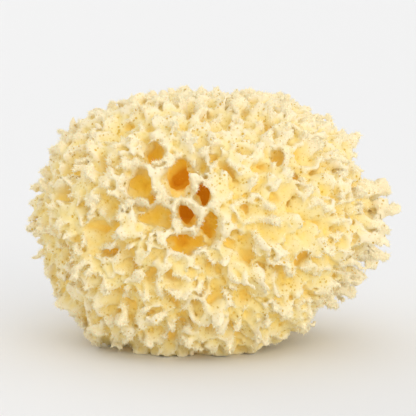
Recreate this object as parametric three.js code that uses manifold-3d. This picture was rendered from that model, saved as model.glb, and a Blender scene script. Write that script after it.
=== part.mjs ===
/*
 * A honeycomb bath sponge: a dried and bleached marine sponge, trimmed flat where it was
 * cut from its rock. It grew in one piece, so it is one solid.
 *
 * The outside is a honeycomb of open pits with raised crests and points between them.
 * Wider water channels run into the body: a close group on the front, smaller ones round
 * the sides, back and crown, and the cut ends of a few more in the flat face underneath.
 *
 * Millimetres, +Z up. The origin is the middle of the flat cut face, at the level that the
 * sponge stands on. Its long way is X, and the large group of channels opens towards -Y.
 */
import * as THREE from "three";
import { mergeVertices } from "three/addons/utils/BufferGeometryUtils.js";
import Module from "manifold-3d";

// The body, point to point.
const LENGTH = 150;
const DEPTH = 124;
const HEIGHT = 106;

// The body's middle: at its widest level, and left of the box's middle, because the points on
// the right are the longest.
const MIDDLE_X = -3.5;
const MIDDLE_HEIGHT = 47;
const GROWN_BELOW = 60; // how far the body reached below that level before it was cut

// How full the body's outlines are: 2 is an ellipse, more is squarer and less is nearer a cone.
const FULL_ROUND = 2.2;
const FULL_ABOVE = 2.35;
const FULL_BELOW = 1.9;
const TUCK = 0.25; // how far the right side narrows towards straight down, as a share

// Broad swellings and hollows: how far they stand in or out, and how many waves cross the body.
const SWELL = 2.2;
const SWELL_WAVES = 2.6;

// The honeycomb of pits.
const PITS = 320;
const PIT_DEPTH = 5;
const PIT_WANDER = 0.4; // how far a pit strays from an even spacing, as a share of the spacing
const CREST_WIDTH = 4.2;
const POINT_HEIGHT = 2.4; // how far the points where three pits meet stand above the crests
const UNPITTED_BELOW = 1.5; // no pit is cut below this height, so the cut face's edge is clean

// Mesh fineness.
const BODY_DETAIL = 16; // subdivisions of each face of an icosahedron
const CHANNEL_SIDES = 10;
const CHANNEL_RINGS = 4;

// Water channels. Bearing is in degrees round from the front, -Y, towards +X, and rise is in
// degrees above the widest level. Half-widths across and up, and depth, are in millimetres.
const CHANNELS = [
  // the large group on the front
  { bearing: -20, rise: 33, across: 3.9, up: 3.5, depth: 16 },
  { bearing: -9, rise: 25, across: 6.0, up: 7.4, depth: 27 },
  { bearing: -23, rise: 22, across: 5.4, up: 6.0, depth: 14 },
  { bearing: 0, rise: 29, across: 2.3, up: 2.8, depth: 9 },
  { bearing: 1, rise: 19, across: 3.2, up: 4.7, depth: 25 },
  { bearing: -6, rise: 12, across: 3.7, up: 4.2, depth: 26 },
  { bearing: -17, rise: 11, across: 6.4, up: 5.2, depth: 13 },
  { bearing: 2, rise: 8, across: 3.4, up: 6.4, depth: 18 },
  { bearing: -8, rise: 2, across: 6.6, up: 3.8, depth: 17 },
  { bearing: -24, rise: 14, across: 2.5, up: 2.2, depth: 9 },
  // smaller ones low on the left and across the right
  { bearing: -51, rise: 0, across: 3.4, up: 3.0, depth: 12 },
  { bearing: -60, rise: -11, across: 2.6, up: 3.2, depth: 11 },
  { bearing: -52, rise: -14, across: 2.4, up: 3.8, depth: 12 },
  { bearing: 35, rise: 22, across: 2.2, up: 2.2, depth: 14 },
  { bearing: 30, rise: 34, across: 3.2, up: 4.4, depth: 9 },
  { bearing: 38, rise: -5, across: 3.4, up: 2.8, depth: 9 },
  // the crown and the back
  { bearing: 95, rise: 64, across: 4.4, up: 3.6, depth: 18 },
  { bearing: -100, rise: 58, across: 3.2, up: 4.0, depth: 14 },
  { bearing: 92, rise: 12, across: 4.0, up: 5.0, depth: 18 },
  { bearing: 150, rise: 24, across: 5.4, up: 4.6, depth: 20 },
  { bearing: 168, rise: 10, across: 4.0, up: 5.6, depth: 22 },
  { bearing: -158, rise: 30, across: 3.6, up: 3.4, depth: 16 },
  { bearing: -125, rise: 2, across: 4.2, up: 3.4, depth: 15 },
];

// Cut channel ends in the flat face: place on the face, half-width and depth, in millimetres.
const CUT_ENDS = [
  { x: -20, y: -8, radius: 4.2, depth: 14 },
  { x: 12, y: 14, radius: 3.4, depth: 12 },
  { x: 19, y: -9, radius: 4.6, depth: 15 },
  { x: -5, y: 19, radius: 2.8, depth: 9 },
];

const GOLDEN_ANGLE = Math.PI * (3 - Math.sqrt(5));
const wasm = await Module();
wasm.setup();

// An even-looking number from 0 to 1 for a count and a purpose, the same on every run.
function scatter(count, purpose) {
  const wave = Math.sin(count * 12.9898 + purpose * 78.233) * 43758.5453;
  return wave - Math.floor(wave);
}

// The smooth body's surface in a direction from its middle, before swellings and pits.
function smoothRadius({ x, y, z }) {
  const tuck = x > 0 ? 1 + TUCK * Math.max(-z, 0) : 1;
  const side = (LENGTH / 2 - Math.sign(x) * MIDDLE_X) / tuck;
  const round = Math.abs(x / side) ** FULL_ROUND + Math.abs(y / (DEPTH / 2)) ** FULL_ROUND;
  const full = z > 0 ? FULL_ABOVE : FULL_BELOW;
  const reach = z > 0 ? HEIGHT - MIDDLE_HEIGHT : GROWN_BELOW;
  return (round ** (full / FULL_ROUND) + Math.abs(z / reach) ** full) ** (-1 / full);
}

// Pit middles as directions, on a spiral that spaces them evenly and then strays.
function pitDirections() {
  const spacing = Math.sqrt((4 * Math.PI) / PITS);
  return Array.from({ length: PITS }, (_, i) => {
    const z = 1 - (2 * i + 1) / PITS;
    const ring = Math.sqrt(1 - z * z);
    const stray = new THREE.Vector3(scatter(i, 1), scatter(i, 2), scatter(i, 3))
      .subScalar(0.5)
      .multiplyScalar(2 * PIT_WANDER * spacing);
    return new THREE.Vector3(
      ring * Math.cos(i * GOLDEN_ANGLE),
      ring * Math.sin(i * GOLDEN_ANGLE),
      z,
    )
      .add(stray)
      .normalize();
  });
}

function swelling(direction) {
  const { x, y, z } = direction.clone().multiplyScalar(SWELL_WAVES);
  return (
    (SWELL * (Math.sin(x * 2.1 + y + 0.7) + Math.sin(y * 1.7 - z + 2.1) + Math.sin(z * 2.3 - x))) /
    3
  );
}

// How far the surface lies below the smooth body in a direction, for the pits and their crests.
function pitCut(direction, pits, radius) {
  if (direction.z * radius + MIDDLE_HEIGHT < UNPITTED_BELOW) return POINT_HEIGHT;
  const near = [Infinity, Infinity, Infinity];
  let nearest = 0;
  pits.forEach((pit, i) => {
    const gap = pit.distanceTo(direction) * radius;
    if (gap < near[0]) nearest = i;
    near.push(gap);
    near.sort((a, b) => a - b).pop();
  });
  const inside = THREE.MathUtils.smoothstep(near[1] - near[0], 0, CREST_WIDTH);
  const pointed = 1 - THREE.MathUtils.smoothstep(near[2] - near[0], 0, CREST_WIDTH);
  const own = 0.55 + 0.9 * scatter(nearest, 4);
  return PIT_DEPTH * own * inside + POINT_HEIGHT * (1 - pointed * scatter(nearest, 5));
}

function solidOf(geometry) {
  geometry.deleteAttribute("normal");
  geometry.deleteAttribute("uv");
  const merged = mergeVertices(geometry, 1e-4);
  return new wasm.Manifold(
    new wasm.Mesh({
      numProp: 3,
      vertProperties: merged.attributes.position.array,
      triVerts: new Uint32Array(merged.index.array),
    }),
  );
}

function geometryOf(solid) {
  const mesh = solid.getMesh();
  const geometry = new THREE.BufferGeometry();
  geometry.setAttribute("position", new THREE.BufferAttribute(mesh.vertProperties, 3));
  geometry.setIndex(new THREE.BufferAttribute(mesh.triVerts, 1));
  geometry.computeVertexNormals();
  return geometry;
}

// The whole pitted body as it grew, with its part below the cut still on.
function grownBody() {
  const pits = pitDirections();
  const geometry = new THREE.IcosahedronGeometry(1, BODY_DETAIL);
  const places = geometry.attributes.position;
  const place = new THREE.Vector3();
  for (let i = 0; i < places.count; i++) {
    const direction = place.fromBufferAttribute(places, i).normalize().clone();
    const radius = smoothRadius(direction);
    const reach = radius + swelling(direction) - pitCut(direction, pits, radius);
    places.setXYZ(i, direction.x * reach, direction.y * reach, direction.z * reach);
  }
  // Pits and swellings take a little off the outermost points, so the body is brought back
  // to its full size here, which also sets its middle to MIDDLE_X.
  geometry.computeBoundingBox();
  const { min, max } = geometry.boundingBox;
  return geometry
    .translate(-(min.x + max.x) / 2, -(min.y + max.y) / 2, 0)
    .scale(
      LENGTH / (max.x - min.x),
      DEPTH / (max.y - min.y),
      (HEIGHT - MIDDLE_HEIGHT) / max.z,
    )
    .translate(0, 0, MIDDLE_HEIGHT);
}

// A channel's shape, one unit in radius at its mouth and one unit deep along -Y, with a round
// end. It carries on past the mouth and widens, so that it leaves no skin there.
function channelShape() {
  const profile = [new THREE.Vector2(0, -1)];
  for (let ring = 1; ring <= CHANNEL_RINGS; ring++) {
    const turn = (ring / CHANNEL_RINGS) * (Math.PI / 2);
    profile.push(new THREE.Vector2(0.78 * Math.sin(turn), -0.35 - 0.65 * Math.cos(turn)));
  }
  profile.push(new THREE.Vector2(1, 0), new THREE.Vector2(1.25, 0.4), new THREE.Vector2(0, 0.4));
  return new THREE.LatheGeometry(profile, CHANNEL_SIDES);
}

function channel({ bearing, rise, across, up, depth }) {
  const round = THREE.MathUtils.degToRad(bearing);
  const lift = THREE.MathUtils.degToRad(rise);
  const out = new THREE.Vector3(
    Math.sin(round) * Math.cos(lift),
    -Math.cos(round) * Math.cos(lift),
    Math.sin(lift),
  );
  const side = new THREE.Vector3(Math.cos(round), Math.sin(round), 0);
  const upward = new THREE.Vector3().crossVectors(side, out);
  const mouth = out.clone().multiplyScalar(smoothRadius(out) - PIT_DEPTH / 2);
  const frame = new THREE.Matrix4().makeBasis(
    side.multiplyScalar(across),
    out.multiplyScalar(depth),
    upward.multiplyScalar(up),
  );
  frame.setPosition(mouth.x + MIDDLE_X, mouth.y, mouth.z + MIDDLE_HEIGHT);
  return solidOf(channelShape().applyMatrix4(frame));
}

function cutEnd({ x, y, radius, depth }) {
  const frame = new THREE.Matrix4().makeBasis(
    new THREE.Vector3(radius, 0, 0),
    new THREE.Vector3(0, 0, -depth),
    new THREE.Vector3(0, radius, 0),
  );
  frame.setPosition(x, y, 0);
  return solidOf(channelShape().applyMatrix4(frame));
}

// Everything below the flat cut face.
function belowCut() {
  const block = new THREE.BoxGeometry(2 * LENGTH, 2 * DEPTH, HEIGHT);
  return solidOf(block.translate(0, 0, -HEIGHT / 2));
}

function sponge() {
  let solid = solidOf(grownBody()).subtract(belowCut());
  for (const opening of CHANNELS) solid = solid.subtract(channel(opening));
  for (const end of CUT_ENDS) solid = solid.subtract(cutEnd(end));
  const colour = new THREE.Color(0xf0d894);
  const mesh = new THREE.Mesh(
    geometryOf(solid),
    new THREE.MeshStandardMaterial({ color: colour, roughness: 0.95, metalness: 0 }),
  );
  mesh.name = "sponge";
  return mesh;
}

const part = new THREE.Group();
part.add(sponge());

export default part;
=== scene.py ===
import math

import bpy
import numpy as np
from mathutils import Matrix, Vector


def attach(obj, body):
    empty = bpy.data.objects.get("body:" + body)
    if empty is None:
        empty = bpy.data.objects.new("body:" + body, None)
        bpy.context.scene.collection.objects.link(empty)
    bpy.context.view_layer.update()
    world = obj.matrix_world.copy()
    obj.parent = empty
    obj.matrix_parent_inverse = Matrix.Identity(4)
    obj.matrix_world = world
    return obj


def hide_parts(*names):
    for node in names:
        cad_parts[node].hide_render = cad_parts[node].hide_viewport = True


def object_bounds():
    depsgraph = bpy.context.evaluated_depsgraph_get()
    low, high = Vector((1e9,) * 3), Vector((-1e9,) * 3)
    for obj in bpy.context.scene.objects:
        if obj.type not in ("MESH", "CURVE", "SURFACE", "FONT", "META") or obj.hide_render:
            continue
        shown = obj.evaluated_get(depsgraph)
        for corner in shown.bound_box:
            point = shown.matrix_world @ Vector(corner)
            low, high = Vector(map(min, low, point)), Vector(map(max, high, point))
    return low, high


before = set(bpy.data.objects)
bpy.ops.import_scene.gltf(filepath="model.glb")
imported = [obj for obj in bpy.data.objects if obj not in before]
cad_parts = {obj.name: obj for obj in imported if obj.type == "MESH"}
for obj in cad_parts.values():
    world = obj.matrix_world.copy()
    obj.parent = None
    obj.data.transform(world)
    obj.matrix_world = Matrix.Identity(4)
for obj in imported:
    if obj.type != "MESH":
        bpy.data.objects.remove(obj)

import openvdb
from mathutils import Vector

BOX_LOW, BOX_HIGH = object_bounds()

bl_info = {
    "name": "Honeycomb bath sponge",
    "version": (1, 0, 0),
    "blender": (4, 5, 0),
    "location": "3D View > Sidebar > Sponge",
    "description": "Grows a dried sea sponge: its pitted body, torn crests, loose fibres and felt",
    "category": "Add Mesh",
}

# Lengths are in metres on the settings and in the scene. The shape is worked out in
# millimetres from the body's middle, at its widest level.
MM = 0.001
WIDTH, DEPTH, HEIGHT = ((high - low) / MM for low, high in zip(BOX_LOW, BOX_HIGH))

# The body's middle is left of the box's middle, because the tongues on the right are longest.
MIDDLE = np.array([-3.5, 0.0, 47.0])

# How far the tongues stand out past the smooth hull on the left, the front and the top.
PAST_LEFT, PAST_FRONT, PAST_TOP = 6.0, 4.5, 5.0

# The smooth hull: its reach from the middle, and how full its outlines are, where 2 is an
# ellipse and more is squarer. It goes on below the cut face, which is cut through it.
REACH_SIDE = WIDTH / 2 + MIDDLE[0] - PAST_LEFT
REACH_FRONT = DEPTH / 2 - PAST_FRONT
REACH_UP = HEIGHT - MIDDLE[2] - PAST_TOP
REACH_DOWN = 60.0
FULL_ROUND = 2.2
FULL_ABOVE = 2.35
FULL_BELOW = 1.9
TUCK = 0.25  # how far the right side narrows towards straight down, as a share

# The direction, from the middle, of the spot that all pits and tongues lean away from.
HUB = np.array([-0.1, -0.93, 0.34])

# Two layers of pits. Widths are half-widths, as shares of the spacing, and stretch is the most
# that a pit is drawn out. Roundness is near 0 for straight walls and 0.5 for a round bowl. Lean
# is how far they lean from the hub, and stray how far each is from its even place, in spacings.
# Inset is how far a mouth is sunk, blend the width of the fillet round it, and clear how far it
# stays from the channels' mouths.
LARGE_PITS = {
    "widths": (0.3, 0.46),
    "stretch": 1.7,
    "roundness": 0.55,
    "lean": 0.6,
    "stray": 0.45,
    "inset": 0.0,
    "blend": 1.8,
    "clear": 1.0,
}
SMALL_PITS = {
    "widths": (0.16, 0.32),
    "stretch": 1.6,
    "roundness": 0.45,
    "lean": 0.3,
    "stray": 0.55,
    "inset": 0.4,
    "blend": 0.7,
}
LARGE_DEPTHS = 0.6, 1.4  # the least and most, as shares of the depth that is set
SMALL_DEPTHS = 0.8, 2.6  # in millimetres

# Tongues on the crests: how many places are tried and used, how close together they may stand,
# how far they stay from the channels' mouths, and how low they may grow.
TONGUE_TRIES = 9000
TONGUES = 500
TONGUE_SPACING = 6.0
TONGUE_CLEAR = 2.5
TONGUE_LOWEST = 8.0

# Smooth random waves, as (cell, deviation) from coarse to fine.
CROOKED = (6.0, 0.9), (2.2, 0.5)  # how crooked the pits, tongues and channels are
ROUGH = (4.0, 0.35), (1.25, 0.24)  # how rough the felted surface is

# Water channels: bearing round from the front, -Y, towards +X, and rise above the widest
# level, in degrees; half-widths across and up, and depth, in millimetres; turn in degrees.
CHANNELS = (
    # the large group on the front
    (-23.5, 35.5, 3.9, 6.0, 10, 0),
    (-9.3, 24, 6.0, 5.4, 14, 10),
    (-9.3, 28, 4.2, 6.0, 15, -20),
    (-26, 23, 5.8, 6.6, 9, 15),
    (-21, 18.5, 2.6, 2.4, 12, 0),
    (-24, 14, 3.0, 2.3, 8, 0),
    (0, 30, 2.0, 3.0, 6, -30),
    (1, 21, 3.8, 5.2, 17, -12),
    (-7, 12.8, 4.5, 4.5, 18, 20),
    (-18, 10.8, 6.4, 5.4, 9, -12),
    (1.8, 9, 4.2, 7.4, 12, -6),
    (-7.5, 2, 6.6, 4.2, 11, -8),
    (12, 29.5, 1.9, 5.0, 5, 38),
    (16.5, 14, 1.5, 1.6, 9, 0),
    # smaller ones low on the left and across the right
    (-56, -1, 3.4, 3.0, 9, 0),
    (-68, -13, 2.6, 3.2, 9, 10),
    (-59, -15, 2.2, 3.8, 10, 0),
    (-50, -18, 2.4, 3.6, 9, 20),
    (-36, -3, 5.0, 1.9, 7, 12),
    (38, 22.5, 1.9, 2.1, 12, 0),
    (35, 33, 3.2, 4.6, 7, -10),
    (40, -6, 3.4, 2.8, 7, 0),
    # the crown and the back
    (95, 64, 4.4, 3.6, 14, 0),
    (-100, 58, 3.2, 4.0, 12, 0),
    (92, 12, 4.0, 5.0, 14, 0),
    (150, 24, 5.4, 4.6, 15, 0),
    (168, 10, 4.0, 5.6, 17, 0),
    (-158, 30, 3.6, 3.4, 13, 0),
    (-125, 2, 4.2, 3.4, 12, 0),
)

# Channels on the front run straighter back than their bearings, by up to this share.
CHANNEL_PULL = 0.8

# Cut channel ends in the flat face: place from the face's middle, half-width and depth.
CUT_ENDS = ((-20, -8, 4.2, 14), (12, 14, 3.4, 12), (19, -9, 4.6, 15), (-5, 19, 2.8, 9))

# The sieve of pores in the flat face: how many, between which corners, and how deep.
SIEVE_PORES = 260
SIEVE_CORNERS = (-46, -40), (40, 40)
SIEVE_DEPTH = 3.5

# Three kinds of strand: the rings of corners along one, the two values of shelter between which
# they thin out, how far they spread about the surface's normal, and how far their tips bend.
TEETH = {"rings": 1, "shelter_limits": (0.22, 0.46), "spread": 0.7, "bend": 0.3}
FIBRES = {"rings": 3, "shelter_limits": (0.2, 0.48), "spread": 0.5, "bend": 0.4}
HAIRS = {"rings": 1, "shelter_limits": (0.5, 0.75), "spread": 0.6, "bend": 0.2}

# Where strands grow: in patches, and with no root deep in a channel or under the cut edge.
PATCH_WAVE = 1.1 * MM  # the length of the waves that make the patches, over 2 pi, in metres
DEEPEST_ROOT = 9.0  # under the smooth hull, in millimetres
LOWEST_ROOT = 1.2 * MM  # above the cut face, in metres

GOLDEN_ANGLE = math.pi * (3 - math.sqrt(5))
SPLINE_SPREAD = 0.33  # the deviation of a cubic B-spline through numbers whose deviation is 1


# ---------------------------------------------------------------- settings


def length(name, description, millimetres, lowest=0.0):
    return bpy.props.FloatProperty(
        name=name,
        description=description,
        default=millimetres * MM,
        min=lowest * MM,
        precision=4,
        unit="LENGTH",
        subtype="DISTANCE",
    )


def count(name, description, number):
    return bpy.props.IntProperty(name=name, description=description, default=number, min=0)


def share(name, description, number):
    return bpy.props.FloatProperty(
        name=name, description=description, default=number, min=0.0, max=1.0, subtype="FACTOR"
    )


def strength(name, description, number):
    return bpy.props.FloatProperty(name=name, description=description, default=number, min=0.0)


def linear(red, green, blue):
    """Linear light for a colour given from 0 to 255, as a paint chart gives it."""
    values = (channel / 255 for channel in (red, green, blue))
    return tuple(v / 12.92 if v <= 0.04045 else ((v + 0.055) / 1.055) ** 2.4 for v in values)


def colour(name, description, red, green, blue):
    return bpy.props.FloatVectorProperty(
        name=name,
        description=description,
        default=linear(red, green, blue),
        min=0.0,
        max=1.0,
        size=3,
        subtype="COLOR",
    )


class BodySettings(bpy.types.PropertyGroup):
    pit_spacing: length("Pit spacing", "From one pit to the next", 8.8, 2.0)
    pit_depth: length("Pit depth", "Depth of a middling pit", 7.0)
    pore_spacing: length("Small pit spacing", "From one small pit to the next", 4.0, 1.0)
    tongue_length: length("Tongue length", "Length of a middling tongue on the crests", 7.6)
    swell: length("Swelling", "How far the broad swellings stand in or out", 1.2)
    voxel: length("Fineness", "Edge of the grid that the shape is worked out on", 0.55, 0.3)
    triangles: count("Triangles", "Most triangles in the body's mesh", 196000)
    seed: count("Seed", "Any other number grows another sponge of the same kind", 7)


class TornSettings(bpy.types.PropertyGroup):
    teeth: count("Teeth", "Short torn teeth along the crests and rims", 42000)
    tooth_length: length("Tooth length", "Length of a middling tooth", 1.5)
    tooth_width: length("Tooth width", "Width of a tooth at its root", 0.55)
    fibres: count("Fibres", "Long loose fibres on the crests", 8000)
    fibre_length: length("Fibre length", "Length of a middling loose fibre", 1.7)
    fibre_width: length("Fibre width", "Thickness of a loose fibre at its root", 0.14)
    hairs: count("Felt hairs", "Short hairs all over the body", 16000)
    hair_length: length("Hair length", "Length of a middling hair", 0.7)
    hair_width: length("Hair width", "Thickness of a hair at its root", 0.13)
    seed: count("Seed", "Any other number tears the crests in other places", 11)


class ColourSettings(bpy.types.PropertyGroup):
    # Tips to channel ends are a ramp of painted shade, laid by shelter and depth: open places are
    # painted pale as if lit, shut-in places tan to dark amber.
    tip: colour("Tips", "Bleached tips and torn edges", 253, 238, 200)
    crest: colour("Crests", "The open outside of the body", 250, 228, 160)
    floor: colour("Pit floors", "The sheltered floors of the pits", 238, 208, 114)
    amber: colour("Channels", "The walls of the water channels", 228, 186, 62)
    deep: colour("Channel ends", "The darkest ends of the channels", 208, 138, 20)
    torn: colour("Torn fibres", "The torn teeth and loose fibres on the crests", 254, 242, 205)
    felt: colour("Felt", "The short hairs all over the body", 252, 232, 170)
    translucency_and_painted_glow: share("Glow", "How far light soaks through the skeleton", 0.12)


class StageSettings(bpy.types.PropertyGroup):
    lens: bpy.props.FloatProperty(
        name="Lens",
        description="The camera's focal length in millimetres",
        default=150.0,
        min=1.0,
        unit="CAMERA",
    )
    distance: length("Distance", "From the camera to the sponge", 700.0)
    elevation: bpy.props.FloatProperty(
        name="Elevation",
        description="How far the camera looks down",
        default=math.radians(8),
        subtype="ANGLE",
    )
    paper: colour("Paper", "The floor that the sponge stands on", 232, 232, 232)
    key: strength("Main light", "Strength of the soft light overhead", 0.4)
    fill: strength("Front light", "Strength of the soft light in front", 1.35)
    rear: strength("Rear light", "Strength of the soft light behind", 0.5)
    sky: strength("Room light", "Strength of the even light from all round", 0.9)


# ------------------------------------------------------------ shape, in millimetres


def unit(vectors):
    return vectors / np.linalg.norm(vectors, axis=-1, keepdims=True)


def spline(places, cell):
    """Cubic B-spline weights, for places along an axis, of lattice points a cell apart."""
    along = (places - places[0]) / cell
    first = np.floor(along).astype(int)
    part = along - first
    shares = (
        (1 - part) ** 3,
        3 * part**3 - 6 * part**2 + 4,
        -3 * part**3 + 3 * part**2 + 3 * part + 1,
        part**3,
    )
    weights = np.zeros((len(places), first[-1] + 4), np.float32)
    for k, each in enumerate(shares):
        weights[np.arange(len(places)), first + k] = each / 6
    return weights


def waves(axes, layers, random):
    """Smooth random heights all over a grid. Layers are (cell, deviation), coarse to fine."""
    cell, deviation = layers[-1]
    weights = [spline(axis, cell) for axis in axes]
    lattice = random.standard_normal([w.shape[1] for w in weights], np.float32)
    lattice *= deviation / SPLINE_SPREAD
    if layers[:-1]:
        nodes = [axis[0] + cell * (np.arange(w.shape[1]) - 1) for axis, w in zip(axes, weights)]
        lattice += waves(nodes, layers[:-1], random)
    lattice = np.tensordot(weights[0], lattice, (1, 0))
    lattice = np.matmul(weights[1], lattice)
    flat = lattice.reshape(-1, lattice.shape[2]) @ weights[2].T
    return flat.reshape(len(axes[0]), len(axes[1]), len(axes[2]))


def fullness(x, y, z):
    """1 on the smooth hull, less inside and more outside, in proportion to the distance."""
    drop = np.maximum(-z, 0) / np.sqrt(x * x + y * y + z * z + 1e-6)
    side = REACH_SIDE / (1 + TUCK * drop * (x > 0))
    across = np.abs(x / side) ** FULL_ROUND + np.abs(y / REACH_FRONT) ** FULL_ROUND
    full = np.where(z > 0, FULL_ABOVE, FULL_BELOW).astype(np.float32)
    reach = np.where(z > 0, REACH_UP, REACH_DOWN).astype(np.float32)
    return (across ** (full / FULL_ROUND) + np.abs(z / reach) ** full) ** (1 / full)


def hull_places(directions):
    """Where rays from the middle leave the smooth hull, and the hull's normals there."""
    places = directions / fullness(*directions.T)[:, None]
    nudge = 0.05
    slopes = [
        fullness(*(places + step).T) - fullness(*(places - step).T)
        for step in np.eye(3) * nudge
    ]
    return places, unit(np.array(slopes).T)


def directions_all_round(number, stray, random):
    """Directions on a spiral that spaces them evenly, each then moved by up to stray spacings."""
    turn = np.arange(number)
    rise = 1 - (2 * turn + 1) / number
    ring = np.sqrt(1 - rise**2)
    angle = turn * GOLDEN_ANGLE
    even = np.stack([ring * np.cos(angle), ring * np.sin(angle), rise], 1)
    spacing = math.sqrt(4 * math.pi / number)
    return unit(even + random.uniform(-stray, stray, (number, 3)) * spacing)


def from_bearing(bearing, rise):
    """The direction with a bearing round from the front and a rise above level, in degrees."""
    bearing, rise = math.radians(bearing), math.radians(rise)
    level = math.cos(rise)
    return np.array([math.sin(bearing) * level, -math.cos(bearing) * level, math.sin(rise)])


def away_from_hub(places, normals):
    """Directions along the surface that lead away from the hub."""
    away = places - unit(HUB) * REACH_FRONT
    away -= (away * normals).sum(1, keepdims=True) * normals
    return unit(away)


def soft_minimum(first, second, blend):
    """The lesser of two fields, with a fillet about as wide as the blend where they meet."""
    near = np.maximum(blend - np.abs(first - second), 0)
    return np.minimum(first, second) - near * near / (4 * blend)


class Shape:
    """The sponge's shape as a field on a grid: below 0 inside, about the distance in
    millimetres near the surface."""

    def __init__(self, step, random):
        margin = 7.0
        low = np.array([-WIDTH / 2, -DEPTH / 2, 0]) - MIDDLE - (margin, margin, 3 * step)
        high = np.array([WIDTH / 2, DEPTH / 2, HEIGHT]) - MIDDLE + margin
        counts = np.ceil((high - low) / step / 2).astype(int) * 2
        self.step = step
        self.low = low
        self.random = random
        self.axes = [(low[k] + step * np.arange(counts[k])).astype(np.float32) for k in range(3)]
        self.field = self.smooth_hull()

    def smooth_hull(self):
        x, y, z = np.ix_(*self.axes)
        distance = np.sqrt(x * x + y * y + z * z)
        return distance - distance / np.maximum(fullness(x, y, z), 1e-3)

    def bend_space(self, layers):
        """Makes what is cut or added from now on crooked, as grown things are."""
        self.bent = [
            axis + waves(self.axes, layers, self.random) for axis in np.ix_(*self.axes)
        ]

    def block(self, middle, reach):
        """The part of the grid within a reach of a place, as slices."""
        first = np.floor((middle - reach - self.low) / self.step).astype(int)
        last = np.ceil((middle + reach - self.low) / self.step).astype(int) + 1
        return tuple(slice(max(a, 0), max(b, 0)) for a, b in zip(first, last))

    def local(self, block, origin, directions):
        """Coordinates of a block's places along three directions from an origin."""
        x, y, z = (bent[block] - place for bent, place in zip(self.bent, origin))
        return [x * a[0] + y * a[1] + z * a[2] for a in directions]

    def carve(self, mouth, out, side, across, up, depth, roundness, blend, above=5.0):
        """Cuts a pit: a bowl of the given half-widths, open along out. It also takes away what
        stands over its mouth, up to a height above it."""
        wide = max(across, up) * 1.4 + 0.5
        block = self.block(mouth + out * (above - depth) / 2, math.hypot(wide, depth) * 0.8 + 2)
        u, v, w = self.local(block, mouth, (side, np.cross(out, side), out))
        bowl = np.clip(w / depth + 1, 0, None) ** roundness
        gap = (bowl - np.hypot(u / across, v / up)) * min(across, up)
        gap = np.minimum(gap, w + depth)
        self.field[block] = -soft_minimum(-self.field[block], -gap, blend)

    def raise_tongue(self, root, out, side, length, wide, thin, tip):
        """Adds a flat tongue that tapers from wide and thin half-widths to a round tip."""
        block = self.block(root + out * length / 2, length / 2 + wide + 2)
        u, v, w = self.local(block, root, (side, np.cross(out, side), out))
        along = np.clip(w / length, 0, 1)
        past = w - along * length
        flat = wide / thin
        gap = np.sqrt(u * u + (v * flat) ** 2 + past * past) - wide + (wide - tip) * along
        fillet = 2.2
        self.field[block] = soft_minimum(self.field[block], gap, fillet)

    def shelter_grids(self, radii):
        """How much solid there is near each place, from 0 to 1, at half the grid's fineness."""
        solid = np.clip(0.5 - self.field / (2 * self.step), 0, 1)
        pairs = [n // 2 for n in solid.shape]
        solid = solid.reshape(pairs[0], 2, pairs[1], 2, pairs[2], 2).mean((1, 3, 5))
        return [blurred(solid, radius / (2 * self.step)) for radius in radii]

    def sample(self, grid, places):
        """A half-fineness grid's values at places, by linear interpolation."""
        at = (places - self.low - self.step / 2) / (2 * self.step)
        at = np.clip(at, 0, np.array(grid.shape) - 1.001)
        corner = at.astype(int)
        part = (at - corner).astype(np.float32)
        total = np.zeros(len(places), np.float32)
        for offset in np.ndindex(2, 2, 2):
            weight = np.prod(np.where(offset, part, 1 - part), axis=1)
            total += weight * grid[tuple((corner + offset).T)]
        return total


def blurred(solid, radius):
    """A box blur along each axis, twice, which is close to a round blur."""
    reach = max(1, round(radius * 0.75))
    for axis in (0, 1, 2, 0, 1, 2):
        padding = [(reach + 1, reach) if k == axis else (0, 0) for k in range(3)]
        total = np.cumsum(np.pad(solid, padding, mode="edge"), axis=axis, dtype=np.float32)
        width = 2 * reach + 1
        upper = np.take(total, range(width, total.shape[axis]), axis=axis)
        lower = np.take(total, range(total.shape[axis] - width), axis=axis)
        solid = (upper - lower) / width
    return solid


def hull_place(direction):
    """Where one ray from the middle leaves the smooth hull."""
    return hull_places(direction[None])[0][0]


def clear_of_channels(places, margin):
    """Which places on the surface are outside every channel's mouth, with a margin."""
    clear = np.ones(len(places), bool)
    for bearing, rise, across, up, _, _ in CHANNELS:
        mouth = hull_place(from_bearing(bearing, rise))
        clear &= np.linalg.norm(places - mouth, axis=1) > max(across, up) + margin
    return clear


def cut_pits(
    shape, spacing, depths, widths, stretch, roundness, lean, stray, inset, blend, clear=None
):
    """Cuts a layer of pits all over the hull, leaning and drawn out away from the hub. They
    stay clear of the channels' mouths by a margin, where one is given."""
    random = shape.random
    area = 4 * math.pi * REACH_SIDE * REACH_UP
    directions = directions_all_round(int(area / spacing**2), stray, random)
    places, normals = hull_places(directions)
    away = away_from_hub(places, normals)
    number = len(places)
    out = unit(normals + lean * away + 0.18 * random.standard_normal((number, 3)))
    along = unit(away + 0.4 * random.standard_normal((number, 3)))
    along = unit(along - (along * out).sum(1, keepdims=True) * out)
    across = spacing * random.uniform(*widths, number)
    up = across * random.uniform(1, stretch, number)
    deep = random.uniform(*depths, number)
    kept = places[:, 2] > -MIDDLE[2] - spacing
    if clear is not None:
        kept &= clear_of_channels(places, clear)
    for i in np.flatnonzero(kept):
        side = np.cross(along[i], out[i])
        mouth = places[i] - normals[i] * inset
        shape.carve(mouth, out[i], side, across[i], up[i], deep[i], roundness, blend)
    return places


def crest_places(places, pits):
    """Which places the tongues stand on: the ones farthest from the pits, spaced apart."""
    nearest = [np.partition(((pits - place) ** 2).sum(1), 2)[:3].sum() for place in places]
    clear = clear_of_channels(places, TONGUE_CLEAR)
    clear &= places[:, 2] > TONGUE_LOWEST - MIDDLE[2]
    chosen = []
    for i in np.argsort(-np.array(nearest)):
        gaps = (((places[i] - places[j]) ** 2).sum() for j in chosen)
        if clear[i] and all(gap > TONGUE_SPACING**2 for gap in gaps):
            chosen.append(i)
        if len(chosen) == TONGUES:
            break
    return chosen


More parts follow.
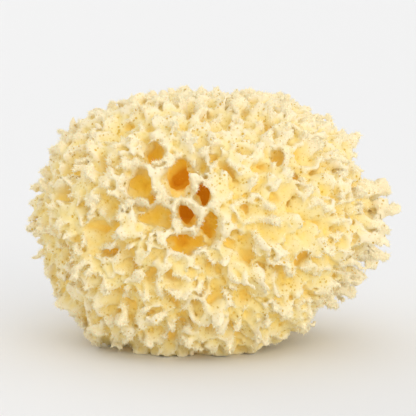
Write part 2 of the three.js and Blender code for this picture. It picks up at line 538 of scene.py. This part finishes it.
def raise_tongues(shape, pits, length):
    """Raises flat tongues on the crests between the pits. Those on the right of the front lean
    farthest from the hub, and those at the far right, near the widest level, are longest."""
    random = shape.random
    tries = directions_all_round(TONGUE_TRIES, 1.0, random)
    places, normals = hull_places(tries)
    away = away_from_hub(places, normals)
    for i in crest_places(places, pits):
        level = math.exp(-((places[i, 2] / 22) ** 2))
        far_right = max(0.0, tries[i, 0]) ** 3 * level
        right = min(max(0.4 + tries[i, 0], 0.0), 1.0)
        lean = 0.4 + right * max(0.0, -normals[i, 1]) + random.uniform(-0.25, 0.25)
        out = unit(normals[i] + lean * away[i] + 0.16 * random.standard_normal(3))
        side = unit(np.cross(away[i], out) + 0.25 * random.standard_normal(3))
        side = unit(side - (side @ out) * out)
        reach = length * random.uniform(0.6, 1.2)
        reach *= 0.85 + 0.15 * right + far_right - 0.3 * max(0.0, tries[i, 2])
        wide = random.uniform(3.0, 4.8)
        thin = random.uniform(1.6, 2.5)
        tip = random.uniform(1.4, 2.4)
        root = places[i] - normals[i] * 3.4 - away[i] * 1.5
        shape.raise_tongue(root, out, side, reach, wide, thin, tip)


def cut_channels(shape):
    """Cuts the water channels, as tubes with nearly straight walls."""
    sunk, straight, fillet = 2.0, 0.22, 0.8
    for bearing, rise, across, up, depth, turn in CHANNELS:
        outwards = from_bearing(bearing, rise)
        pull = CHANNEL_PULL * max(0.0, -outwards[1])
        out = unit(outwards + (0, -pull, 0))
        level = unit(np.cross((0, 0, 1), out))
        angle = math.radians(turn)
        side = level * math.cos(angle) + np.cross(out, level) * math.sin(angle)
        mouth = hull_place(outwards) - out * sunk
        shape.carve(mouth, out, side, across, up, depth, straight, fillet, above=9.0)


def cut_underside(shape):
    """Makes the flat cut through the body, with its cut channels and a sieve of pores."""
    down, side = np.array([0.0, 0.0, -1.0]), np.array([1.0, 0.0, 0.0])
    fillet = 0.5
    for x, y, radius, depth in CUT_ENDS:
        mouth = np.array([x, y, 0.0]) - MIDDLE
        shape.carve(mouth, down, side, radius, radius, depth, 0.25, fillet)
    random = shape.random
    for _ in range(SIEVE_PORES):
        mouth = np.array([*random.uniform(*SIEVE_CORNERS), 0]) - MIDDLE
        across = random.uniform(0.7, 1.9)
        out = unit(down + 0.5 * random.standard_normal(3) * (1, 1, 0))
        up = across * random.uniform(1, 1.8)
        shape.carve(mouth, out, side, across, up, SIEVE_DEPTH, 0.4, fillet)
    level = shape.axes[2][None, None, :] + MIDDLE[2]
    np.maximum(shape.field, -level, out=shape.field)


def main_surface(points, quads, triangles):
    """Drops what isn't joined to the largest surface, such as crumbs and sealed bubbles."""
    corners = np.concatenate([quads, triangles[:, [0, 1, 2, 0]]])
    label = np.arange(len(points))
    edges = np.concatenate([corners[:, [0, 1]], corners[:, [1, 2]], corners[:, [2, 3]]])
    while True:
        lowest = np.minimum(label[edges[:, 0]], label[edges[:, 1]])
        before = label.copy()
        np.minimum.at(label, label[edges[:, 0]], lowest)
        np.minimum.at(label, label[edges[:, 1]], lowest)
        label = label[label]
        if (label == before).all():
            break
    main = np.bincount(label).argmax()
    return [faces[label[faces[:, 0]] == main] for faces in (quads, triangles)]


def grow_body(settings):
    """The whole shape, as a Shape, from its settings."""
    random = np.random.default_rng(settings.seed)
    shape = Shape(settings.voxel / MM, random)
    swell = settings.swell / MM
    shape.field += waves(shape.axes, [(24, swell), (11, swell * 0.7)], random)
    shape.bend_space(CROOKED)
    depths = [settings.pit_depth / MM * part for part in LARGE_DEPTHS]
    pits = cut_pits(shape, settings.pit_spacing / MM, depths, **LARGE_PITS)
    raise_tongues(shape, pits, settings.tongue_length / MM)
    cut_pits(shape, settings.pore_spacing / MM, SMALL_DEPTHS, **SMALL_PITS)
    cut_channels(shape)
    shape.field += waves(shape.axes, ROUGH, random)
    cut_underside(shape)
    return shape


# ---------------------------------------------------------------- meshes


def mesh_from(name, places, faces):
    """A mesh with smooth faces. Places are in metres; faces are arrays of equal-sided faces."""
    mesh = bpy.data.meshes.new(name)
    sizes = np.concatenate([np.full(len(f), f.shape[1]) for f in faces])
    corners = np.concatenate([f.ravel() for f in faces]).astype(np.int32)
    mesh.vertices.add(len(places))
    mesh.vertices.foreach_set("co", places.astype(np.float32).ravel())
    mesh.loops.add(len(corners))
    mesh.loops.foreach_set("vertex_index", corners)
    mesh.polygons.add(len(sizes))
    mesh.polygons.foreach_set("loop_start", (np.cumsum(sizes) - sizes).astype(np.int32))
    mesh.update(calc_edges=True)
    mesh.shade_smooth()
    return mesh


def places_of(mesh):
    found = np.empty(len(mesh.vertices) * 3, np.float32)
    mesh.vertices.foreach_get("co", found)
    return found.reshape(-1, 3)


def add_values(mesh, name, values):
    mesh.attributes.new(name, "FLOAT", "POINT").data.foreach_set("value", values)


def values_of(mesh, name):
    found = np.empty(len(mesh.vertices), np.float32)
    mesh.attributes[name].data.foreach_get("value", found)
    return found


def add_piece(name, mesh, material):
    piece = bpy.data.objects.new(name, mesh)
    bpy.context.scene.collection.objects.link(piece)
    mesh.materials.append(material)
    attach(piece, "root")
    return piece


def thinned(mesh, most):
    """The mesh with edges collapsed until it has at most so many triangles."""
    mesh.calc_loop_triangles()
    carrier = bpy.data.objects.new("to_thin", mesh)
    bpy.context.scene.collection.objects.link(carrier)
    modifier = carrier.modifiers.new("thin", "DECIMATE")
    modifier.ratio = most / len(mesh.loop_triangles)
    modifier.use_collapse_triangulate = True
    graph = bpy.context.evaluated_depsgraph_get()
    thin = bpy.data.meshes.new_from_object(carrier.evaluated_get(graph))
    bpy.data.objects.remove(carrier)
    return thin


def add_shelter(mesh, shape, places):
    """Gives the mesh what its painted shade and painted glow depend on: how much solid is near
    each place, in a small and a large round, and how deep the place is under the smooth hull."""
    near, far = shape.shelter_grids((2.0, 6.0))
    add_values(mesh, "shelter_near", shape.sample(near, places))
    add_values(mesh, "shelter_far", shape.sample(far, places))
    level = fullness(*places.T)
    distance = np.linalg.norm(places, axis=1)
    add_values(mesh, "depth", (distance / level - distance).astype(np.float32))


def strands(roots, directions, sides, length, width, bend, rings):
    """Closed three-sided strands that taper to a point and bend towards their sides."""
    number = len(roots)
    across = np.cross(directions, sides)
    places = []
    for ring in range(rings):
        along = ring / rings
        middle = roots + directions * (length * along)[:, None]
        middle = middle + sides * (bend * length * along**2)[:, None]
        thick = (width / 2 * (1 - 0.8 * along))[:, None]
        for corner in range(3):
            angle = 2 * math.pi * corner / 3
            places.append(middle + thick * (sides * math.cos(angle) + across * math.sin(angle)))
    places.append(roots + directions * length[:, None] + sides * (bend * length)[:, None])
    pattern = [(0, 2, 1)]
    for ring in range(rings - 1):
        for corner in range(3):
            a, b = 3 * ring + corner, 3 * ring + (corner + 1) % 3
            pattern += [(a, b, b + 3), (a, b + 3, a + 3)]
    last = 3 * (rings - 1)
    for corner in range(3):
        pattern.append((last + corner, last + (corner + 1) % 3, last + 3))
    per_strand = 3 * rings + 1
    order = np.arange(number)[:, None, None] * per_strand
    faces = (order + np.array(pattern)[None]).reshape(-1, 3)
    return np.stack(places, 1).reshape(-1, 3), faces


def places_to_grow(mesh, number, shelter_limits, random):
    """Random places on the mesh, mostly where shelter is under the first limit and none where
    it is over the second, with the normals there."""
    corners = np.empty(len(mesh.loops), np.int32)
    mesh.loops.foreach_get("vertex_index", corners)
    corners = corners.reshape(-1, 3)
    places = places_of(mesh)
    near, depth = values_of(mesh, "shelter_near"), values_of(mesh, "depth")
    a, b, c = (places[corners[:, k]] for k in range(3))
    area = np.linalg.norm(np.cross(b - a, c - a), axis=1)
    low, high = shelter_limits
    wanted = np.clip((high - near[corners].mean(1)) / (high - low), 0, 1) ** 2
    wanted *= depth[corners].mean(1) < DEEPEST_ROOT
    wanted *= places[corners, 2].min(1) > LOWEST_ROOT
    wanted *= np.sin(places[corners[:, 0]] / PATCH_WAVE).sum(1) > -0.3
    weight = area * wanted
    chosen = random.choice(len(corners), number, p=weight / weight.sum())
    parts = random.dirichlet((1, 1, 1), number)
    roots = (places[corners[chosen]] * parts[:, :, None]).sum(1)
    normals = np.empty(len(mesh.vertices) * 3, np.float32)
    mesh.vertex_normals.foreach_get("vector", normals)
    normals = normals.reshape(-1, 3)[corners[chosen]].mean(1)
    return roots, unit(normals)


def grow_strands(
    name, material, seed, number, length, width, rings, shelter_limits, spread, bend
):
    """One piece of strands that grow out of the body."""
    random = np.random.default_rng([seed, rings, number])
    body = bpy.data.objects["sponge_body"].data
    roots, normals = places_to_grow(body, number, shelter_limits, random)
    from_middle = roots / MM - MIDDLE
    away = away_from_hub(from_middle, unit(from_middle))
    directions = unit(normals + 0.45 * away + spread * random.standard_normal(roots.shape))
    sides = unit(np.cross(directions, random.standard_normal(roots.shape)))
    lengths = length * random.uniform(0.45, 1.5, number)
    widths = width * random.uniform(0.6, 1.3, number)
    bends = bend * random.uniform(0.2, 1, number)
    roots = roots - directions * width
    places, faces = strands(roots, directions, sides, lengths, widths, bends, rings)
    places[:, 2] = np.maximum(places[:, 2], 0.2 * MM)
    add_piece(name, mesh_from(name, places, [faces]), material)


# ---------------------------------------------------------------- materials


class Value:
    """A shader socket that adds a Math node for each Python operator used on it."""

    def __init__(self, shader, socket):
        self.shader = shader
        self.socket = socket

    def math(self, operation, *values):
        settings = {"operation": operation}
        node = self.shader.node("ShaderNodeMath", settings, dict(enumerate(values)))
        return Value(self.shader, node.outputs[0])

    def __add__(self, other):
        return self.math("ADD", self, other)

    def __sub__(self, other):
        return self.math("SUBTRACT", self, other)

    def __rsub__(self, other):
        return self.math("SUBTRACT", other, self)

    def __mul__(self, other):
        return self.math("MULTIPLY", self, other)

    __radd__ = __add__
    __rmul__ = __mul__

    def between(self, low, high):
        """0 up to low and 1 from high, with a smooth change between them."""
        settings = {"interpolation_type": "SMOOTHSTEP"}
        sockets = {"Value": self, "From Min": low, "From Max": high}
        node = self.shader.node("ShaderNodeMapRange", settings, sockets)
        return Value(self.shader, node.outputs["Result"])


class Shader:
    """One material and its nodes."""

    def __init__(self, name):
        self.material = bpy.data.materials.new(name)
        self.material.use_nodes = True
        self.tree = self.material.node_tree
        self.tree.nodes.clear()

    def node(self, kind, settings=None, sockets=None):
        made = self.tree.nodes.new(kind)
        for name, value in (settings or {}).items():
            setattr(made, name, value)
        for name, value in (sockets or {}).items():
            if isinstance(value, Value):
                value = value.socket
            if isinstance(value, bpy.types.NodeSocket):
                self.tree.links.new(value, made.inputs[name])
            else:
                made.inputs[name].default_value = value
        return made

    def value(self, kind, settings=None, sockets=None, output=0):
        return Value(self, self.node(kind, settings, sockets).outputs[output])

    def attribute(self, name):
        return self.value("ShaderNodeAttribute", {"attribute_name": name}, output="Fac")

    def mix(self, first, second, factor):
        """A colour between two colours. Either may be three numbers or a socket."""
        sockets = {"Factor": factor}
        for number, end in ((6, first), (7, second)):
            sockets[number] = end if isinstance(end, bpy.types.NodeSocket) else (*end, 1)
        return self.node("ShaderNodeMix", {"data_type": "RGBA"}, sockets).outputs[2]

    def noise(self, places, size, detail=2.0, roughness=0.5):
        sockets = {"Vector": places, "Scale": 1 / size, "Detail": detail, "Roughness": roughness}
        return self.value("ShaderNodeTexNoise", None, sockets, output="Fac")

    def pores(self, places, spacing, largest):
        """1 in small round pores of many sizes, 0 between them."""
        sockets = {"Vector": places, "Scale": 1 / spacing, "Randomness": 1.0}
        cells = self.node("ShaderNodeTexVoronoi", None, sockets)
        each = self.value("ShaderNodeSeparateColor", None, {"Color": cells.outputs["Color"]})
        radius = (each * 0.7 + 0.3) * (largest / spacing)
        return (radius - Value(self, cells.outputs["Distance"])).between(-0.04, 0.1)

    def millimetres(self):
        """Places on the piece, in millimetres."""
        places = self.node("ShaderNodeTexCoord").outputs["Object"]
        settings = {"operation": "SCALE"}
        return self.node("ShaderNodeVectorMath", settings, {0: places, "Scale": 1 / MM}).outputs[0]

    def finish(self, sockets):
        surface = self.node("ShaderNodeBsdfPrincipled", None, sockets)
        self.node("ShaderNodeOutputMaterial", None, {"Surface": surface.outputs[0]})
        return self.material


def skeleton_material(settings):
    """The felted skeleton: pale on its crests, tan in its pits and amber in its channels, which is
    painted shade that grows with shelter and depth. Its sheltered places are lit through, by
    subsurface light and by a painted glow."""
    shader = Shader("felted skeleton")
    places = shader.millimetres()
    near, far = shader.attribute("shelter_near"), shader.attribute("shelter_far")
    depth = shader.attribute("depth")
    mottle = shader.noise(places, 5.0, 3.0)
    fine = shader.noise(places, 0.9, 4.0, 0.7)
    height = shader.value("ShaderNodeSeparateXYZ", None, {"Vector": places}, output=2)
    # painted light from above: the body is painted paler towards its top
    painted_top_light = height.between(50.0, 105.0)
    # the painted shade goes from 0 where a place is open to about 1 where it is shut in, and the
    # colours below darken with it
    shade = near * 0.6 + far * 0.6 + (mottle - 0.5) * 0.22 + (fine - 0.5) * 0.12
    # the painted light from above lightens the colour towards the pale tips
    shade = shade - painted_top_light * 0.12
    tint = shader.mix(settings.tip, settings.crest, shade.between(0.28, 0.56))
    tint = shader.mix(tint, settings.floor, shade.between(0.5, 0.86))
    # painted shade: channel walls turn amber, and their far ends darkest, the deeper they lie
    # under the hull
    tint = shader.mix(tint, settings.amber, depth.between(5.0, 11.0) * far.between(0.45, 0.75))
    tint = shader.mix(tint, settings.deep, depth.between(10.0, 18.0))
    # pores stand in clusters and the finer dots all over; both dent the surface and are painted
    # amber as the shade inside small holes
    cluster = shader.noise(places, 7.0, 1.0).between(0.42, 0.62)
    pores = shader.pores(places, 1.7, 0.6) * cluster
    dots = shader.pores(places, 1.1, 0.34)
    holes = pores + dots * 0.6
    tint = shader.mix(tint, settings.amber, holes * 0.9)
    felt = shader.noise(places, 0.35, 3.0, 0.8)
    relief = felt * 0.16 + fine * 0.6 - holes * 0.4
    sockets = {"Height": relief, "Distance": 1.0 * MM, "Strength": 0.8}
    bump = shader.node("ShaderNodeBump", None, sockets)
    # painted glow: sheltered places and channels are given a glow in their own colours, as if lit
    # from within, that lifts their shade
    translucency_and_painted_glow = shader.mix((0, 0, 0), settings.floor, shade.between(0.45, 1.1))
    translucency_and_painted_glow = shader.mix(translucency_and_painted_glow, settings.amber, depth.between(6.0, 11.0))
    translucency_and_painted_glow = shader.mix(translucency_and_painted_glow, settings.deep, depth.between(9.0, 16.0))
    surface = {
        "Base Color": tint,
        "Roughness": 0.92,
        "Normal": bump.outputs[0],
        "Emission Color": translucency_and_painted_glow,
        "Emission Strength": 0.27,
        "Subsurface Weight": settings.translucency_and_painted_glow,
        "Subsurface Radius": (1.0, 0.8, 0.5),
        "Subsurface Scale": 1.0 * MM,
        "Specular IOR Level": 0.25,
    }
    return shader.finish(surface)


def fibre_material(name, tint):
    """Torn edges, loose fibres and felt, each of one colour, with a faint painted glow of that
    colour.
    """
    # painted glow: a faint emission of the strand's own colour lifts the shade on the thin strands
    light = {"Emission Color": (*tint, 1), "Emission Strength": 0.12, "Specular IOR Level": 0.25}
    return Shader(name).finish({"Base Color": (*tint, 1), "Roughness": 0.9} | light)


def plain_material(name, tint):
    return Shader(name).finish({"Base Color": (*tint, 1), "Roughness": 0.9})


# ---------------------------------------------------------------- operators


def add_light(name, direction, strength):
    """A wide soft light that shines from a direction, as evenly as a big diffuser."""
    light = bpy.data.lights.new(name, "SUN")
    light.angle = math.radians(50)
    light.energy = strength
    holder = bpy.data.objects.new(name, light)
    holder.rotation_euler = Vector(direction).to_track_quat("Z", "Y").to_euler()
    bpy.context.scene.collection.objects.link(holder)


class SPONGE_OT_body(bpy.types.Operator):
    """Grow the sponge's body, with its pits, tongues and water channels"""

    bl_idname = "sponge.body"
    bl_label = "Grow the body"

    def execute(self, context):
        settings = context.scene.sponge_body
        shape = grow_body(settings)
        grid = openvdb.FloatGrid()
        band = 3.0  # the field this far from the surface is all that finding it takes
        grid.copyFromArray(np.clip(shape.field, -band, band))
        points, triangles, quads = grid.convertToPolygons(isovalue=0.0)
        quads, triangles = main_surface(points, quads, triangles)
        places = (points * shape.step + shape.low + MIDDLE) * MM
        rough = mesh_from("sponge_body", places, [quads, triangles])
        mesh = thinned(rough, settings.triangles)
        bpy.data.meshes.remove(rough)
        mesh.name = "sponge_body"
        add_shelter(mesh, shape, places_of(mesh) / MM - MIDDLE)
        piece = add_piece("sponge_body", mesh, skeleton_material(context.scene.sponge_colours))
        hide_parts("sponge")
        return {"FINISHED"}


class SPONGE_OT_torn(bpy.types.Operator):
    """Grow the torn teeth, loose fibres and felt on the body"""

    bl_idname = "sponge.torn"
    bl_label = "Tear the crests"

    def execute(self, context):
        if "sponge_body" not in bpy.data.objects:
            raise RuntimeError("grow the body first")
        settings = context.scene.sponge_torn
        colours = context.scene.sponge_colours
        torn = fibre_material("torn fibre", colours.torn)
        felt = fibre_material("felt", colours.felt)
        teeth = settings.teeth, settings.tooth_length, settings.tooth_width
        fibres = settings.fibres, settings.fibre_length, settings.fibre_width
        hairs = settings.hairs, settings.hair_length, settings.hair_width
        grow_strands("torn_teeth", torn, settings.seed, *teeth, **TEETH)
        grow_strands("loose_fibres", torn, settings.seed, *fibres, **FIBRES)
        grow_strands("surface_felt", felt, settings.seed, *hairs, **HAIRS)
        return {"FINISHED"}


class SPONGE_OT_stage(bpy.types.Operator):
    """Set up the floor, the lights and the camera"""

    bl_idname = "sponge.stage"
    bl_label = "Set the stage"

    def execute(self, context):
        settings = context.scene.sponge_stage
        reach = 60.0  # metres, so that the floor's edge is out of sight
        corners = np.array([(-1, -1, 0), (1, -1, 0), (1, 1, 0), (-1, 1, 0)]) * reach
        mesh = mesh_from("stage_floor", corners, [np.array([(0, 1, 2, 3)])])
        mesh.materials.append(plain_material("pale paper", settings.paper))
        floor = bpy.data.objects.new("stage_floor", mesh)
        context.scene.collection.objects.link(floor)
        world = bpy.data.worlds.new("soft room")
        world.use_nodes = True
        background = world.node_tree.nodes["Background"]
        background.inputs["Color"].default_value = (1, 1, 1, 1)
        background.inputs["Strength"].default_value = settings.sky
        context.scene.world = world
        context.scene.view_settings.view_transform = "Standard"
        add_light("overhead", (0.25, -0.62, 0.62), settings.key)
        add_light("front", (0.7, -1.0, 0.02), settings.fill)
        add_light("rear", (-0.6, 1.0, 0.4), settings.rear)
        self.add_camera(context, settings)
        return {"FINISHED"}

    def add_camera(self, context, settings):
        camera = bpy.data.cameras.new("camera")
        camera.lens = settings.lens
        holder = bpy.data.objects.new("camera", camera)
        context.scene.collection.objects.link(holder)
        back = Vector((0, -math.cos(settings.elevation), math.sin(settings.elevation)))
        left = 1.4 * MM  # how far left of the box's middle the camera aims
        aim = Vector(((BOX_LOW.x + BOX_HIGH.x) / 2 - left, 0, BOX_HIGH.z * 0.51))
        holder.location = aim + back * settings.distance
        holder.rotation_euler = (-back).to_track_quat("-Z", "Y").to_euler()
        context.scene.camera = holder


class SPONGE_PT_panel(bpy.types.Panel):
    """The sponge's settings, and the steps that make it, in order"""

    bl_idname = "SPONGE_PT_panel"
    bl_label = "Sponge"
    bl_space_type = "VIEW_3D"
    bl_region_type = "UI"
    bl_category = "Sponge"

    def draw(self, context):
        scene = context.scene
        for operator, groups in STEPS:
            box = self.layout.box()
            for group in groups:
                for name in getattr(scene, group).bl_rna.properties.keys():
                    if name not in ("rna_type", "name"):
                        box.prop(getattr(scene, group), name)
            box.operator(operator)


GROUPS = {
    "sponge_body": BodySettings,
    "sponge_torn": TornSettings,
    "sponge_colours": ColourSettings,
    "sponge_stage": StageSettings,
}
STEPS = (
    ("sponge.body", ("sponge_body", "sponge_colours")),
    ("sponge.torn", ("sponge_torn",)),
    ("sponge.stage", ("sponge_stage",)),
)
CLASSES = (*GROUPS.values(), SPONGE_OT_body, SPONGE_OT_torn, SPONGE_OT_stage, SPONGE_PT_panel)


def register():
    for each in CLASSES:
        bpy.utils.register_class(each)
    for name, group in GROUPS.items():
        setattr(bpy.types.Scene, name, bpy.props.PointerProperty(type=group))


def unregister():
    for name in GROUPS:
        delattr(bpy.types.Scene, name)
    for each in reversed(CLASSES):
        bpy.utils.unregister_class(each)


def main():
    register()
    bpy.ops.sponge.body()
    bpy.ops.sponge.torn()
    bpy.ops.sponge.stage()
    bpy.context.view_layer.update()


if __name__ == "__main__":
    main()
